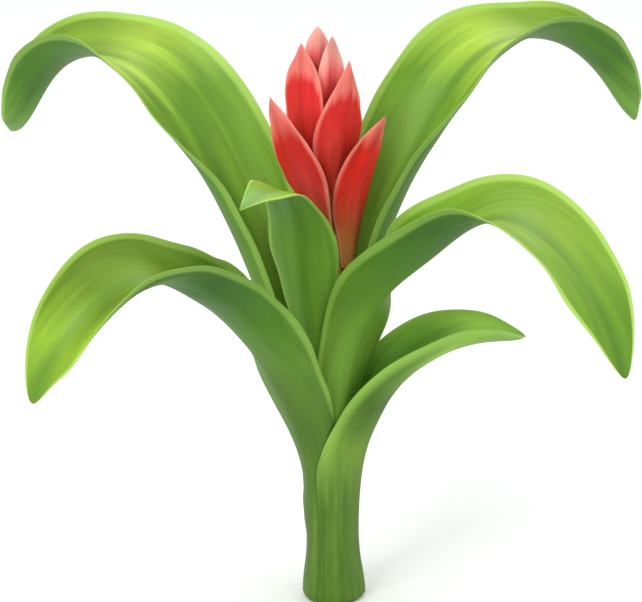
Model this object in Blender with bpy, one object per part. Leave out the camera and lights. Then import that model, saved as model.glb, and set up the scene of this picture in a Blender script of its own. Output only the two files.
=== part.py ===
"""A guzmania rooted in the ground: one stem, nine strap leaves and a red flower head of bracts.

Metres and degrees, +Z up.  The origin is the centre of the flat cut under the stem, at ground level.
Every leaf and bract is the same kind of blade: a strip of given width, cupped across, swept along a
midline whose heading from the upright is given at even steps of its length.
"""

from dataclasses import dataclass
from math import radians, sqrt

import bmesh
import bpy
import numpy as np

# --- driving sizes ---
MM = 0.001
GAP = 0.3 * MM  # clearance between two pieces that touch
LEAF_THICKNESS = 1.4 * MM
BRACT_THICKNESS = 1.6 * MM
STRIPS = 4  # faces across a blade
LEAF_ROW = 17 * MM  # length of one face along a leaf
BRACT_ROW = 11 * MM
WELD = 0.00001  # points nearer than this are one
MIDLINE_STEPS = 240  # steps used to walk a blade's midline
FLATTEST_CUP = 1.0  # degrees; a section flatter than this is drawn at this
SMOOTH_ANGLE = 40.0

# --- the stem: flared foot, narrow neck, swelling where the leaves leave it ---
STEM_LEAN = -0.015  # sideways drift of the stem's centre, metre per metre of height
STEM_SIDES = 28
STEM_HEIGHTS = (0.0, 0.010, 0.026, 0.050, 0.070, 0.088, 0.106, 0.120, 0.133, 0.144, 0.150)
STEM_RADII = (0.0220, 0.0216, 0.0193, 0.0182, 0.0191, 0.0217, 0.0265, 0.0290, 0.0270, 0.0190, 0.0110)

# --- the flower: a stalk that rises through the leaves, and the pith that carries the bracts ---
STALK_BASE = (-0.0020, 0.0, 0.1503)
STALK_TOP = (0.0050, 0.0, 0.2460)
STALK_RADIUS = 0.0045
STALK_SIDES = 16
PITH_TIP = (-0.0095, 0.0, 0.3950)
PITH_RADIUS = 0.0075
PITH_TAPER = 0.94  # share of the section area lost by the tip
PITH_SECTIONS = 9
PITH_SIDES = 16


# --- plain colours, linear ---
LEAF_COLOUR = (0.19, 0.37, 0.06)
STEM_COLOUR = (0.11, 0.22, 0.04)
BRACT_COLOUR = (0.60, 0.03, 0.03)


@dataclass(frozen=True)
class Blade:
    """A leaf or bract: where it starts, which way it faces, and its sizes at even steps from base to tip."""

    name: str
    base: tuple
    azimuth: float
    length: float
    heading: tuple  # midline from the upright
    width: tuple  # measured round the cup; the tip is a point
    cup: tuple  # half of the angle that the section turns through
    swing: tuple = (0, 0)  # turn of the azimuth
    roll: tuple = (0, 0)  # bank of the section about the midline
    bend: float = 0.0  # share of the length where the leaf is split in two, 0 for none


LEAVES = (
    Blade("leaf_upper_left", (-0.007, 0.005, 0.116), 140, 0.5183,
          heading=(28, 22, 26, 42, 95, 131, 101),
          width=(0.0360, 0.0712, 0.099, 0.0982, 0.0875, 0.0731),
          cup=(71, 102, 99, 52, 64, 115, 115), swing=(12, 8, 12, -10, -31),
          roll=(-8, -7, -13, -20, -7, -46, -58), bend=0.70),
    Blade("leaf_upper_right", (0.004, 0.0055, 0.124), 38, 0.5116,
          heading=(14, 13, 26, 39, 95, 125, 124),
          width=(0.0270, 0.0625, 0.0869, 0.0888, 0.0781, 0.0688),
          cup=(76, 98, 96, 67, 60, 116, 40), swing=(-5, -3, -11, 8, 23),
          roll=(-7, -2, 8, 22, 3, 28, -1), bend=0.68),
    Blade("leaf_mid_left", (-0.0146, -0.0064, 0.106), 226, 0.3924,
          heading=(29, 34, 48, 62, 68, 128, 163),
          width=(0.0563, 0.066, 0.0926, 0.0808, 0.0677, 0.0613),
          cup=(99, 65, 102, 116, 87, 76, 26), swing=(8, 8, 24, 0, -44),
          roll=(4, 4, -26, -26, -17, -32, -67), bend=0.64),
    Blade("leaf_mid_right", (0.0089, -0.0125, 0.1396), -42, 0.3794,
          heading=(1, 25, 51, 54, 102, 127, 156),
          width=(0.038, 0.0573, 0.0924, 0.0931, 0.0716, 0.0531),
          cup=(62, 35, 102, 68, 41, 18, 4), swing=(-2, -3, -1, -13, -20),
          roll=(-14, -12, 20, 14, 7, 0, 22), bend=0.62),
    Blade("leaf_curled_front", (-0.007, -0.0011, 0.1422), 245, 0.2764,
          heading=(8, 22, 24, 28, 49, 85, 105),
          width=(0.033, 0.04, 0.045, 0.052, 0.042, 0.027),
          cup=(80, 46, 26, 1, 5), swing=(-14, 14, 9, 1),
          roll=(-28, -18, -12, -15, -21), bend=0.78),
    Blade("leaf_small_right", (0.0131, -0.0082, 0.0893), 15, 0.199,
          heading=(18, 22, 32, 58, 82, 97, 101), width=(0.056, 0.065, 0.072, 0.071, 0.058, 0.038),
          cup=(87, 92, 92, 93, 75), swing=(-18, -2, 14, 30), roll=(-38, -19, 3, 14, 31)),
)

BRACTS = (
    Blade("bract_top", (-0.0102, -0.0013, 0.366), 260, 0.047,
          heading=(0, 1, 2, 2, 2, 3, 4), width=(0.0135, 0.017, 0.019, 0.0205, 0.019, 0.0125),
          cup=(75, 65, 54, 45, 37), swing=(1, 3, 3, 2), roll=(1, 3, 4, 3, 1)),
    Blade("bract_upper_right", (-0.0017, -0.0041, 0.348), -55, 0.059,
          heading=(6, 6, 5, 2, -1, -3, -3), width=(0.016, 0.020, 0.022, 0.0215, 0.0185, 0.012),
          cup=(73, 51, 29, 21, 24), swing=(-1, -2, -2, -1), roll=(0, -2, -3, -3, -2)),
    Blade("bract_upper_left", (-0.0105, 0.0010, 0.3125), 230, 0.092,
          heading=(21, 21, 16, 8, 2, -1, -1), width=(0.014, 0.025, 0.032, 0.032, 0.030, 0.020),
          cup=(51, 24, 20, 22, 26), swing=(-11, -5, 1, 5), roll=(3, 8, 8, 6, 3)),
    Blade("bract_middle_right", (0.0016, -0.0050, 0.297), -57, 0.0965,
          heading=(12, 13, 12, 10, 8, 7, 6), width=(0.006, 0.024, 0.040, 0.040, 0.030, 0.015),
          cup=(88, 56, 42, 30, 23), swing=(4, 1, 1, -1), roll=(3, -4, -4, -2, 0)),
    Blade("bract_lower_left", (-0.0052, -0.0004, 0.259), 213, 0.118,
          heading=(17, 22, 23, 23, 23, 22, 22), width=(0.015, 0.026, 0.037, 0.042, 0.035, 0.022),
          cup=(61, 37, 26, 20, 20), swing=(-5, -1, 2, 6), roll=(1, 9, 14, 10, 5)),
    Blade("bract_lower_right", (0.0129, -0.0012, 0.2475), -45, 0.1135,
          heading=(8, 4, 9, 17, 23, 26, 29),
          width=(0.015, 0.0214, 0.0335, 0.0372, 0.0328, 0.0209),
          cup=(50, 57, 51, 44, 37), swing=(11, 0, -1, -1),
          roll=(-9, -5, -4, -4)),
)

BACK_LEAVES = (
    Blade("leaf_mid_back", (-0.0012, 0.0150, 0.102), 92, 0.370,
          heading=(24, 34, 42, 52, 86, 124, 150), width=(0.046, 0.060, 0.072, 0.076, 0.066, 0.046),
          cup=(80, 66, 45, 25, 6), swing=(2, 0, -3, 4), roll=(0, 3, 0, -6, 8), bend=0.64),
    Blade("leaf_small_left", (-0.0150, 0.0030, 0.096), 178, 0.112,
          heading=(14, 17, 22, 27, 34, 44, 57), width=(0.036, 0.038, 0.038, 0.034, 0.028, 0.019),
          cup=(60, 52, 44, 34, 25)),
    Blade("leaf_small_back", (0.0040, 0.0170, 0.086), 96, 0.215,
          heading=(32, 44, 56, 70, 84, 96, 106), width=(0.044, 0.052, 0.058, 0.055, 0.045, 0.030),
          cup=(72, 66, 56, 40, 20), swing=(0, 4, 0, -6), roll=(0, -4, 0, 6)),
)

BACK_BRACTS = (
    Blade("bract_back_top", (-0.0030, 0.0060, 0.315), 95, 0.075,
          heading=(12, 10, 6, 3, 0, -2, -3), width=(0.018, 0.024, 0.027, 0.027, 0.023, 0.015),
          cup=(60, 48, 38, 30, 26)),
    Blade("bract_back_left", (-0.0065, 0.0090, 0.292), 124, 0.076,
          heading=(14, 17, 17, 15, 12, 9, 7), width=(0.004, 0.006, 0.012, 0.019, 0.018, 0.012),
          cup=(70, 50, 40, 30, 24)),
    Blade("bract_back_right", (0.0040, 0.0055, 0.280), 60, 0.090,
          heading=(12, 14, 13, 11, 9, 7, 6), width=(0.011, 0.017, 0.024, 0.027, 0.023, 0.014),
          cup=(70, 50, 40, 30, 24)),
    Blade("bract_back_low", (0.0030, 0.0070, 0.252), 100, 0.105,
          heading=(8, 14, 20, 24, 26, 27, 28), width=(0.015, 0.026, 0.035, 0.037, 0.030, 0.018),
          cup=(63, 52, 42, 34, 28)),
)


def through(values: tuple, share: np.ndarray) -> np.ndarray:
    """Smooth curve through evenly spaced values (Catmull-Rom), read at shares 0..1 of the way."""
    inner = np.asarray(values, float)
    knots = np.concatenate([[2 * inner[0] - inner[1]], inner, [2 * inner[-1] - inner[-2]]])
    at = share * (len(inner) - 1)
    step = np.minimum(at.astype(int), len(inner) - 2)
    part = at - step
    a, b, c, d = (knots[step + k] for k in range(4))
    return b + 0.5 * part * (c - a + part * (2 * a - 5 * b + 4 * c - d + part * (3 * (b - c) + d - a)))


def blade_points(blade: Blade, shares: np.ndarray) -> np.ndarray:
    """Middle surface of a blade: one row of points for each share of its length, STRIPS + 1 points across.

    The midline is walked in short steps along its heading.  Each section is an arc of the blade's
    width that turns through twice the cup angle, open towards the blade's upper face.
    """
    fine = np.linspace(0, 1, MIDLINE_STEPS + 1)
    turn = np.radians(through(blade.heading, fine))[:, None]
    facing = np.radians(blade.azimuth + through(blade.swing, fine))
    bank = np.radians(through(blade.roll, fine))[:, None]
    upright = np.array([0.0, 0.0, 1.0])
    out = np.stack([np.cos(facing), np.sin(facing), 0 * facing], -1)
    along = np.sin(turn) * out + np.cos(turn) * upright
    inward = np.sin(turn) * upright - np.cos(turn) * out
    level = np.cross(upright, out)
    side = level * np.cos(bank) + inward * np.sin(bank)
    face = inward * np.cos(bank) - level * np.sin(bank)
    steps = (along[1:] + along[:-1]) / 2 * blade.length / MIDLINE_STEPS
    middle = np.vstack([np.zeros(3), np.cumsum(steps, axis=0)]) + blade.base
    middle, side, face = (
        np.stack([np.interp(shares, fine, line[:, axis]) for axis in range(3)], -1)[:, None]
        for line in (middle, side, face)
    )
    across = np.linspace(-1, 1, STRIPS + 1)
    half_width = through((*blade.width, 0.0), shares)[:, None] / 2
    cup = np.radians(np.maximum(through(blade.cup, shares), FLATTEST_CUP))[:, None]
    sideways = half_width * np.sin(cup * across) / cup
    lift = half_width * (1 - np.cos(cup * across)) / cup
    return middle + side * sideways[..., None] + face * lift[..., None]


def new_object(name: str, points: list, faces: list, finish: bpy.types.Material) -> bpy.types.Object:
    """A smooth shaded mesh object whose faces point outwards."""
    mesh = bpy.data.meshes.new(name)
    mesh.from_pydata([tuple(point) for point in points], [], faces)
    shape = bmesh.new()
    shape.from_mesh(mesh)
    bmesh.ops.recalc_face_normals(shape, faces=shape.faces)
    shape.to_mesh(mesh)
    shape.free()
    mesh.materials.append(finish)
    mesh.shade_smooth()
    mesh.set_sharp_from_angle(angle=radians(SMOOTH_ANGLE))
    item = bpy.data.objects.new(name, mesh)
    bpy.context.scene.collection.objects.link(item)
    return item


def add_blade(
    name: str,
    blade: Blade,
    first: float,
    last: float,
    row_length: float,
    thickness: float,
    finish: bpy.types.Material,
) -> bpy.types.Object:
    """The stretch of a blade between two shares of its length, solid; the tip closes to a point."""
    rows = max(3, round(blade.length * (last - first) / row_length)) + 1
    sheet = blade_points(blade, np.linspace(first, last, rows))
    columns = STRIPS + 1
    starts = [row * columns + column for row in range(rows - 1) for column in range(STRIPS)]
    faces = [[near, near + columns, near + columns + 1, near + 1] for near in starts]
    item = new_object(name, list(sheet.reshape(-1, 3)), faces, finish)
    shape = bmesh.new()
    shape.from_mesh(item.data)
    bmesh.ops.remove_doubles(shape, verts=shape.verts, dist=WELD)
    shape.to_mesh(item.data)
    shape.free()
    solid = item.modifiers.new("thickness", "SOLIDIFY")
    solid.thickness = thickness
    solid.offset = 0.0
    return item


def add_turned(
    name: str, centres: list, radii: list, sides: int, finish: bpy.types.Material
) -> bpy.types.Object:
    """Closed solid of round level sections, given by their centres and radii from the bottom up."""
    angles = 2 * np.pi * np.arange(sides) / sides
    circle = np.stack([np.cos(angles), np.sin(angles), 0 * angles], -1)
    rings = [np.array(centre) + radius * circle for centre, radius in zip(centres, radii)]
    faces = [list(range(sides)), [(len(radii) - 1) * sides + k for k in range(sides)]]
    for ring in range(len(radii) - 1):
        low = [ring * sides + k for k in range(sides)]
        following = low[1:] + low[:1]
        faces += [[here, there, there + sides, here + sides] for here, there in zip(low, following)]
    return new_object(name, list(np.concatenate(rings)), faces, finish)


def material(name: str, colour: tuple, roughness: float) -> bpy.types.Material:
    """A plain finish from linear colour and roughness."""
    made = bpy.data.materials.new(name)
    made.use_nodes = True
    shader = made.node_tree.nodes["Principled BSDF"]
    shader.inputs["Base Color"].default_value = (*colour, 1.0)
    shader.inputs["Roughness"].default_value = roughness
    shader.inputs["Metallic"].default_value = 0.0
    return made


def seat_on(item: bpy.types.Object, cutter: bpy.types.Object) -> None:
    """Ends the item at the cutter's surface, so that it sits a clearance off what carries it."""
    seat = item.modifiers.new("seat", "BOOLEAN")
    seat.operation = "DIFFERENCE"
    seat.solver = "EXACT"
    seat.object = cutter


def as_cutter(item: bpy.types.Object) -> bpy.types.Object:
    """Marks an object as a helper that is no part of the plant."""
    item.hide_render = True
    item.display_type = "WIRE"
    return item


def between(low: tuple, high: tuple, share: float) -> tuple:
    """The point a share of the way from low to high."""
    return tuple(a + (b - a) * share for a, b in zip(low, high))


def stem_sections(grow: float) -> tuple:
    """Centres and radii of the stem's sections, grown outwards by a clearance."""
    centres = [(STEM_LEAN * height, 0.0, height) for height in STEM_HEIGHTS]
    centres[-1] = (centres[-1][0], 0.0, STEM_HEIGHTS[-1] + grow)
    return centres, [radius + grow for radius in STEM_RADII]


def pith_sections(grow: float) -> tuple:
    """Centres and radii of the spindle inside the flower head, grown outwards by a clearance."""
    shares = np.linspace(0, 1, PITH_SECTIONS)
    centres = [between(STALK_TOP, PITH_TIP, share) for share in shares]
    centres[-1] = (PITH_TIP[0], PITH_TIP[1], PITH_TIP[2] + grow)
    return centres, [PITH_RADIUS * sqrt(1 - PITH_TAPER * share**2) + grow for share in shares]


def add_stem(finish: bpy.types.Material) -> bpy.types.Object:
    """The stem, and the grown copy of it that the leaves are seated on, which is returned."""
    add_turned("stem", *stem_sections(0), STEM_SIDES, finish)
    return as_cutter(add_turned("stem_cutter", *stem_sections(GAP), STEM_SIDES, finish))


def add_flower_axis(green: bpy.types.Material, red: bpy.types.Material) -> bpy.types.Object:
    """The stalk and the pith on it, and the grown copy of the pith for the bracts, which is returned."""
    stalk_end = between(STALK_TOP, STALK_BASE, GAP / (STALK_TOP[2] - STALK_BASE[2]))
    add_turned("flower_stalk", [STALK_BASE, stalk_end], [STALK_RADIUS] * 2, STALK_SIDES, green)
    add_turned("flower_pith", *pith_sections(0), PITH_SIDES, red)
    return as_cutter(add_turned("pith_cutter", *pith_sections(GAP), PITH_SIDES, red))


def add_leaf(leaf: Blade, stem_cutter: bpy.types.Object, finish: bpy.types.Material) -> None:
    """One leaf seated on the stem; a leaf with a bend is a rise and a tip, a clearance apart."""
    if not leaf.bend:
        seat_on(add_blade(leaf.name, leaf, 0, 1, LEAF_ROW, LEAF_THICKNESS, finish), stem_cutter)
        return
    half_gap = GAP / 2 / leaf.length
    rise = add_blade(f"{leaf.name}_rise", leaf, 0, leaf.bend - half_gap, LEAF_ROW, LEAF_THICKNESS, finish)
    seat_on(rise, stem_cutter)
    add_blade(f"{leaf.name}_tip", leaf, leaf.bend + half_gap, 1, LEAF_ROW, LEAF_THICKNESS, finish)


def build() -> None:
    """Clears the scene and makes every part of the plant."""
    for item in list(bpy.data.objects):
        bpy.data.objects.remove(item, do_unlink=True)
    leaf_green = material("leaf_green", LEAF_COLOUR, 0.40)
    stem_green = material("stem_green", STEM_COLOUR, 0.50)
    bract_red = material("bract_red", BRACT_COLOUR, 0.40)
    stem_cutter = add_stem(stem_green)
    pith_cutter = add_flower_axis(stem_green, bract_red)
    for leaf in LEAVES + BACK_LEAVES:
        add_leaf(leaf, stem_cutter, leaf_green)
    for bract in BRACTS + BACK_BRACTS:
        seat_on(add_blade(bract.name, bract, 0, 1, BRACT_ROW, BRACT_THICKNESS, bract_red), pith_cutter)


build()
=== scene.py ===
"""A guzmania in flower, rooted in the ground: glossy strap leaves round an upright head of red bracts.

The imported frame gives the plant's solids.  This file stands a detailed surface in place of each: every
leaf and bract is one closed skin with a thin margin, a creased midrib and parallel veins, and each leaf
runs down into a sheath that wraps the stem.

Lengths are metres and angles are degrees, unless a name says otherwise.
"""

import logging
from dataclasses import dataclass, replace
from enum import Enum
from math import cos, radians, sin

import bpy
import numpy as np
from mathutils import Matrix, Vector


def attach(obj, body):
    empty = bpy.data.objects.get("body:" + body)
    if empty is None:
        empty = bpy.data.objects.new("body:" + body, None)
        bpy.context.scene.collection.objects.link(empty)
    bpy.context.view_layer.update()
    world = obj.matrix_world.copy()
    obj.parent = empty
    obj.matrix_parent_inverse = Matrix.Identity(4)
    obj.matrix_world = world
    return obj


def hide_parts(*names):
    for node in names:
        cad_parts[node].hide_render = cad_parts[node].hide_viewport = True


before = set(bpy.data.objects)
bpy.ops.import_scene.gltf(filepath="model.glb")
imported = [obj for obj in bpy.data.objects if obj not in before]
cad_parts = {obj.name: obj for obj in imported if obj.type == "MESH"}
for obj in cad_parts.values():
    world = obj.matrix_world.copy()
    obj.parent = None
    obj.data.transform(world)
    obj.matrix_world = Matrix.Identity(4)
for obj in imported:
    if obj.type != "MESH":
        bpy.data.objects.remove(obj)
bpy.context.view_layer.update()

LOG = logging.getLogger("guzmania")
UPRIGHT = np.array([0.0, 0.0, 1.0])
ROOT = "root"


# --- curves through named sizes ---


def through(values: tuple, share: np.ndarray) -> np.ndarray:
    """Smooth curve through evenly spaced values (Catmull-Rom).

    Between two values it is the cubic whose slope at each is half of the step between its neighbours.

    Args:
        values: sizes at even steps of the way.
        share: where to read, 0 at the first value and 1 at the last.

    Returns:
        The curve's value at each share.
    """
    inner = np.asarray(values, float)
    knots = np.concatenate([[2 * inner[0] - inner[1]], inner, [2 * inner[-1] - inner[-2]]])
    at = share * (len(inner) - 1)
    step = np.clip(at.astype(int), 0, len(inner) - 2)
    part = at - step
    a, b, c, d = (knots[step + k] for k in range(4))
    return b + 0.5 * part * (c - a + part * (2 * a - 5 * b + 4 * c - d + part * (3 * (b - c) + d - a)))


def ease(low: float, high: float, value: np.ndarray) -> np.ndarray:
    """Smooth step: 0 up to low, 1 from high, and 3x^2 - 2x^3 between."""
    part = np.clip((value - low) / (high - low), 0, 1)
    return part * part * (3 - 2 * part)


def hump(value: np.ndarray, width: float) -> np.ndarray:
    """A bell, exp(-(value / width)^2): 1 at zero and fading over the width."""
    return np.exp(-((value / width) ** 2))


def level(angle: np.ndarray) -> np.ndarray:
    """Level unit vectors, (cos a, sin a, 0), at some angles from +X towards +Y."""
    return np.stack([np.cos(angle), np.sin(angle), np.zeros_like(angle)], -1)


# --- meshes from grids ---


class Layer(Enum):
    """Names of the point attributes that the finishes read."""

    BLADE = "blade"
    STRAP = "strap"


def grid_faces(rows: int, columns: int, closed: bool) -> np.ndarray:
    """Corner numbers of the quads of a grid of points.

    Args:
        rows: points one way.
        columns: points the other way.
        closed: whether the last column joins the first.

    Returns:
        An array of quads, four point numbers each.
    """
    across = np.arange(columns if closed else columns - 1)
    following = (across + 1) % columns
    row = np.arange(rows - 1)[:, None] * columns
    quads = np.stack([row + across, row + following, row + columns + following, row + columns + across], -1)
    return quads.reshape(-1, 4)


def column(skin: np.ndarray, foot: np.ndarray, top: np.ndarray) -> tuple:
    """Closes a round column with a fan of triangles at either end.

    Args:
        skin: its rings from the foot up, each anticlockwise seen from above.
        foot: the middle of its foot.
        top: the middle of its top.

    Returns:
        Its points and its faces.
    """
    rows, columns = skin.shape[:2]
    ring = np.arange(columns)
    following = (ring + 1) % columns
    last = (rows - 1) * columns
    hub = rows * columns
    low = np.stack([following, ring, np.full(columns, hub)], -1)
    high = np.stack([last + ring, last + following, np.full(columns, hub + 1)], -1)
    faces = grid_faces(rows, columns, closed=True).tolist() + low.tolist() + high.tolist()
    return np.concatenate([skin.reshape(-1, 3), [foot], [top]]), faces


def make_piece(
    name: str, nodes: tuple, body: tuple, finish: bpy.types.Material, layers: dict | None = None
) -> bpy.types.Object:
    """A smooth shaded mesh object at the origin that rides on the plant's one body and stands for its solids.

    Args:
        name: the piece's name.
        nodes: the solids it stands for.
        body: its points, and its faces as lists of point numbers, wound so that they face outwards.
        finish: its material.
        layers: a vector for each point, by Layer.

    Returns:
        The new object.
    """
    points, faces = body
    mesh = bpy.data.meshes.new(name)
    mesh.from_pydata(points, [], faces)
    for layer, values in (layers or {}).items():
        attribute = mesh.attributes.new(layer.value, "FLOAT_VECTOR", "POINT")
        attribute.data.foreach_set("vector", np.ascontiguousarray(values, np.float32).ravel())
    mesh.materials.append(finish)
    mesh.validate()
    mesh.shade_smooth()
    piece = bpy.data.objects.new(name, mesh)
    bpy.context.scene.collection.objects.link(piece)
    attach(piece, ROOT)
    if nodes:
        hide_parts(*nodes)
    return piece


# --- finishes ---


def linear(hex_colour: str) -> tuple:
    """Linear RGBA of an sRGB hex colour such as "#9BC64B"."""
    parts = [int(hex_colour[k : k + 2], 16) / 255 for k in (1, 3, 5)]
    return (*(p / 12.92 if p <= 0.04045 else ((p + 0.055) / 1.055) ** 2.4 for p in parts), 1.0)


def stops(text: str) -> tuple:
    """Colour stops of a ramp, (place, hex colour), from text such as "0 #5E8A28, 38 #78A535" in percent."""
    return tuple((int(place) / 100, colour) for place, colour in (pair.split() for pair in text.split(",")))


def add_node(tree: bpy.types.NodeTree, kind: str, inputs: dict, **settings) -> bpy.types.Node:
    """Adds one shader node, with its settings and what goes into it.

    Args:
        tree: the material's node tree.
        kind: the node's type name, without "ShaderNode".
        inputs: by input name or number, a value to set, a socket to link, or a node whose first output to link.
        settings: attributes of the node; ramp, a tuple of stops, fills a colour ramp.

    Returns:
        The new node.
    """
    node = tree.nodes.new("ShaderNode" + kind)
    wanted = settings.pop("ramp", ())
    for _ in wanted[2:]:  # a new ramp has two stops
        node.color_ramp.elements.new(0.5)
    for element, (place, colour) in zip(node.color_ramp.elements if wanted else (), wanted):
        element.position = place
        element.color = linear(colour)
    for name, value in settings.items():
        setattr(node, name, value)
    for name, value in inputs.items():
        source = value.outputs[0] if isinstance(value, bpy.types.Node) else value
        if isinstance(source, bpy.types.NodeSocket):
            tree.links.new(source, node.inputs[name])
        else:
            node.inputs[name].default_value = source
    return node


def blank_material(name: str) -> tuple:
    """A new material with an empty node tree.

    Args:
        name: the material's name.

    Returns:
        The material and its tree.
    """
    made = bpy.data.materials.new(name)
    made.use_nodes = True
    made.node_tree.nodes.clear()
    return made, made.node_tree


def close_tree(tree: bpy.types.NodeTree, inputs: dict) -> None:
    """Adds the surface shader and the output that it goes to.

    Args:
        tree: the material's node tree.
        inputs: the shader's, as add_node takes them.
    """
    add_node(tree, "OutputMaterial", {"Surface": add_node(tree, "BsdfPrincipled", inputs)})


def pattern(
    tree: bpy.types.NodeTree, kind: str, place: bpy.types.NodeSocket, size: tuple, inputs: dict
) -> bpy.types.NodeSocket:
    """Adds a texture at true scale.

    Args:
        tree: the material's node tree.
        kind: the texture's type name.
        place: the vector it is read at.
        size: how far one unit of the texture reaches along each part of that vector.
        inputs: the texture's own.

    Returns:
        The socket of its strength.
    """
    scale = tuple(1 / reach for reach in size)
    spot = add_node(tree, "VectorMath", {0: place, 1: scale}, operation="MULTIPLY")
    return add_node(tree, kind, {"Vector": spot, "Scale": 1.0, **inputs}).outputs["Fac"]


# --- finishes of the plant ---


WAXY_TISSUE = {"IOR": 1.45, "Specular IOR Level": 0.2}  # wet tissue under wax: a low, soft shine


@dataclass(frozen=True)
class StrapFinish:
    """Living bromeliad blade, a waxy skin over parallel fibres: satin gloss, fine lengthwise lines, pale edge.

    Attributes:
        name: the material's name.
        upper: colour stops along the upper face, from the blade's base to its tip; own colour, painted highlight and
            shade.
        lower: colour stops along the lower face; own colour, painted highlight and shade.
        margin: colour of the thin edge, a painted rim highlight.
        margin_from: the share of the half width at which the edge begins to pale.
        margin_full: the share at which it is palest.
        margin_strength: how far it pales on the lower face and on the upper.
        rib_shade: colour of the streak along the midrib, painted shade in its fold.
        rib_shade_strength: how far the painted shade shows.
        foot: colour low on the plant, under foot_heights, or None where the stem's own streaks take over.
        foot_heights: heights between which the foot's colour gives way.
        flame: how much farther out its colours lie at the margins, and how far its streaks pull them, as shares.
        bundle: the way across a bundle of three parallel veins.
        patch: across and along one soft patch of lighter or darker growth.
        roughness: at its glossiest and at its dullest.
        coat: weight of the wax.
    """

    name: str
    upper: tuple
    lower: tuple
    margin: str
    margin_from: float
    margin_full: float
    margin_strength: tuple
    rib_shade: str
    rib_shade_strength: float
    foot: str | None
    foot_heights: tuple
    flame: tuple
    bundle: float
    patch: tuple
    roughness: tuple
    coat: float

    FIBRE = (0.0009, 0.050)
    PORE = (0.0007, 0.00112)
    STREAK = (3.1, 0.21)  # bundles across, and metres along
    VEIN_WANDER = 0.03
    SLICE = 1 / 7.31  # of a blade's number for one unit of texture: each blade has patterns of its own
    RIB_CORE = 0.0004
    RIB_BUNDLES = 3.4
    BLOOM = 0.20  # how much duller the lower face is, under its powdery wax

    def growth(self, tree: bpy.types.NodeTree, strap: bpy.types.NodeSocket) -> list:
        """Adds the patterns of the tissue, which run lengthwise.

        Args:
            tree: the material's node tree.
            strap: the way across, the way along, and the blade's number.

        Returns:
            The sockets of the patches, the streaks, the fibres, the pores and the veins.
        """
        wide, long = self.STREAK
        noises = ((self.patch, 3.0), ((self.bundle * wide, long), 1.0), (self.FIBRE, 2.0), (self.PORE, 1.0))
        found = [pattern(tree, "TexNoise", strap, (*size, self.SLICE), {"Detail": fine}) for size, fine in noises]
        wander = {"Distortion": 0.8, "Detail": 1.0, "Detail Scale": 0.6}
        size = (self.bundle, self.VEIN_WANDER, self.SLICE)
        return [*found, pattern(tree, "TexWave", strap, size, wander)]

    def make(self) -> bpy.types.Material:
        """Builds the material.

        Returns:
            The material, which reads the skin's two attributes.
        """
        made, tree = blank_material(self.name)
        blade = add_node(tree, "Attribute", {}, attribute_name=Layer.BLADE.value)
        strap = add_node(tree, "Attribute", {}, attribute_name=Layer.STRAP.value)
        share, across, side = add_node(tree, "SeparateXYZ", {0: blade.outputs["Vector"]}).outputs
        sideways = add_node(tree, "SeparateXYZ", {0: strap.outputs["Vector"]})
        patches, streaks, fibres, pores, veins = self.growth(tree, strap.outputs["Vector"])

        squared = add_node(tree, "Math", {0: across, 1: across}, operation="MULTIPLY")
        outer = add_node(tree, "Math", {0: squared, 1: self.flame[0], 2: share}, operation="MULTIPLY_ADD")
        pulled = add_node(tree, "MapRange", {0: streaks, 1: 0.2, 2: 0.8, 3: -self.flame[1], 4: self.flame[1]})
        run = add_node(tree, "Math", {0: outer, 1: pulled}, operation="ADD")
        # the ramps hold the blade's own colour together with painted highlight and painted shade along it
        above = add_node(tree, "ValToRGB", {"Fac": run}, ramp=self.upper)
        below = add_node(tree, "ValToRGB", {"Fac": run}, ramp=self.lower)
        colour = self.blend(tree, "MIX", side, below, above)

        # the streak along the midrib is painted shade in its fold
        off_rib = add_node(tree, "Math", {0: sideways}, operation="ABSOLUTE")
        fade = {0: off_rib, 1: self.RIB_CORE, 2: self.bundle * self.RIB_BUNDLES, 3: self.rib_shade_strength, 4: 0.0}
        rib_shade = add_node(tree, "MapRange", fade, interpolation_type="SMOOTHSTEP")
        colour = self.blend(tree, "MIX", rib_shade, colour, linear(self.rib_shade))
        for texture, low, high, darkest, palest in (
            (patches, 0.25, 0.75, 0.80, 1.20),
            (streaks, 0.25, 0.75, 0.88, 1.12),
            (fibres, 0.25, 0.75, 0.93, 1.07),
            (veins, 0.0, 1.0, 0.955, 1.03),
        ):
            tone = add_node(tree, "MapRange", {0: texture, 1: low, 2: high, 3: darkest, 4: palest})
            colour = self.blend(tree, "MULTIPLY", 1.0, colour, tone)

        # the pale edge is a painted rim highlight, stronger on the upper face than on the lower
        off_middle = add_node(tree, "Math", {0: across}, operation="ABSOLUTE")
        dimmer, brighter = self.margin_strength
        pale = add_node(tree, "MapRange", {0: side, 3: dimmer, 4: brighter})
        fade = {0: off_middle, 1: self.margin_from, 2: self.margin_full, 3: 0.0, 4: pale}
        edge = add_node(tree, "MapRange", fade, interpolation_type="SMOOTHSTEP")
        colour = self.blend(tree, "MIX", edge, colour, linear(self.margin))

        point = add_node(tree, "TexCoord", {})
        height = add_node(tree, "SeparateXYZ", {0: point.outputs["Object"]})
        low, high = self.foot_heights
        fade = {0: height.outputs[2], 1: low, 2: high, 3: 1.0, 4: 0.0}
        foot = add_node(tree, "MapRange", fade, interpolation_type="SMOOTHSTEP")
        ground = linear(self.foot) if self.foot else STEM_FINISH.streaked(tree)[0]
        colour = self.blend(tree, "MIX", foot, colour, ground)

        shiny, dull = self.roughness
        rough = add_node(tree, "MapRange", {0: patches, 1: 0.3, 2: 0.7, 3: shiny, 4: dull})
        bloom = add_node(tree, "MapRange", {0: side, 3: self.BLOOM, 4: 0.0})
        roughness = add_node(tree, "Math", {0: rough, 1: bloom}, operation="ADD")

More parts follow.
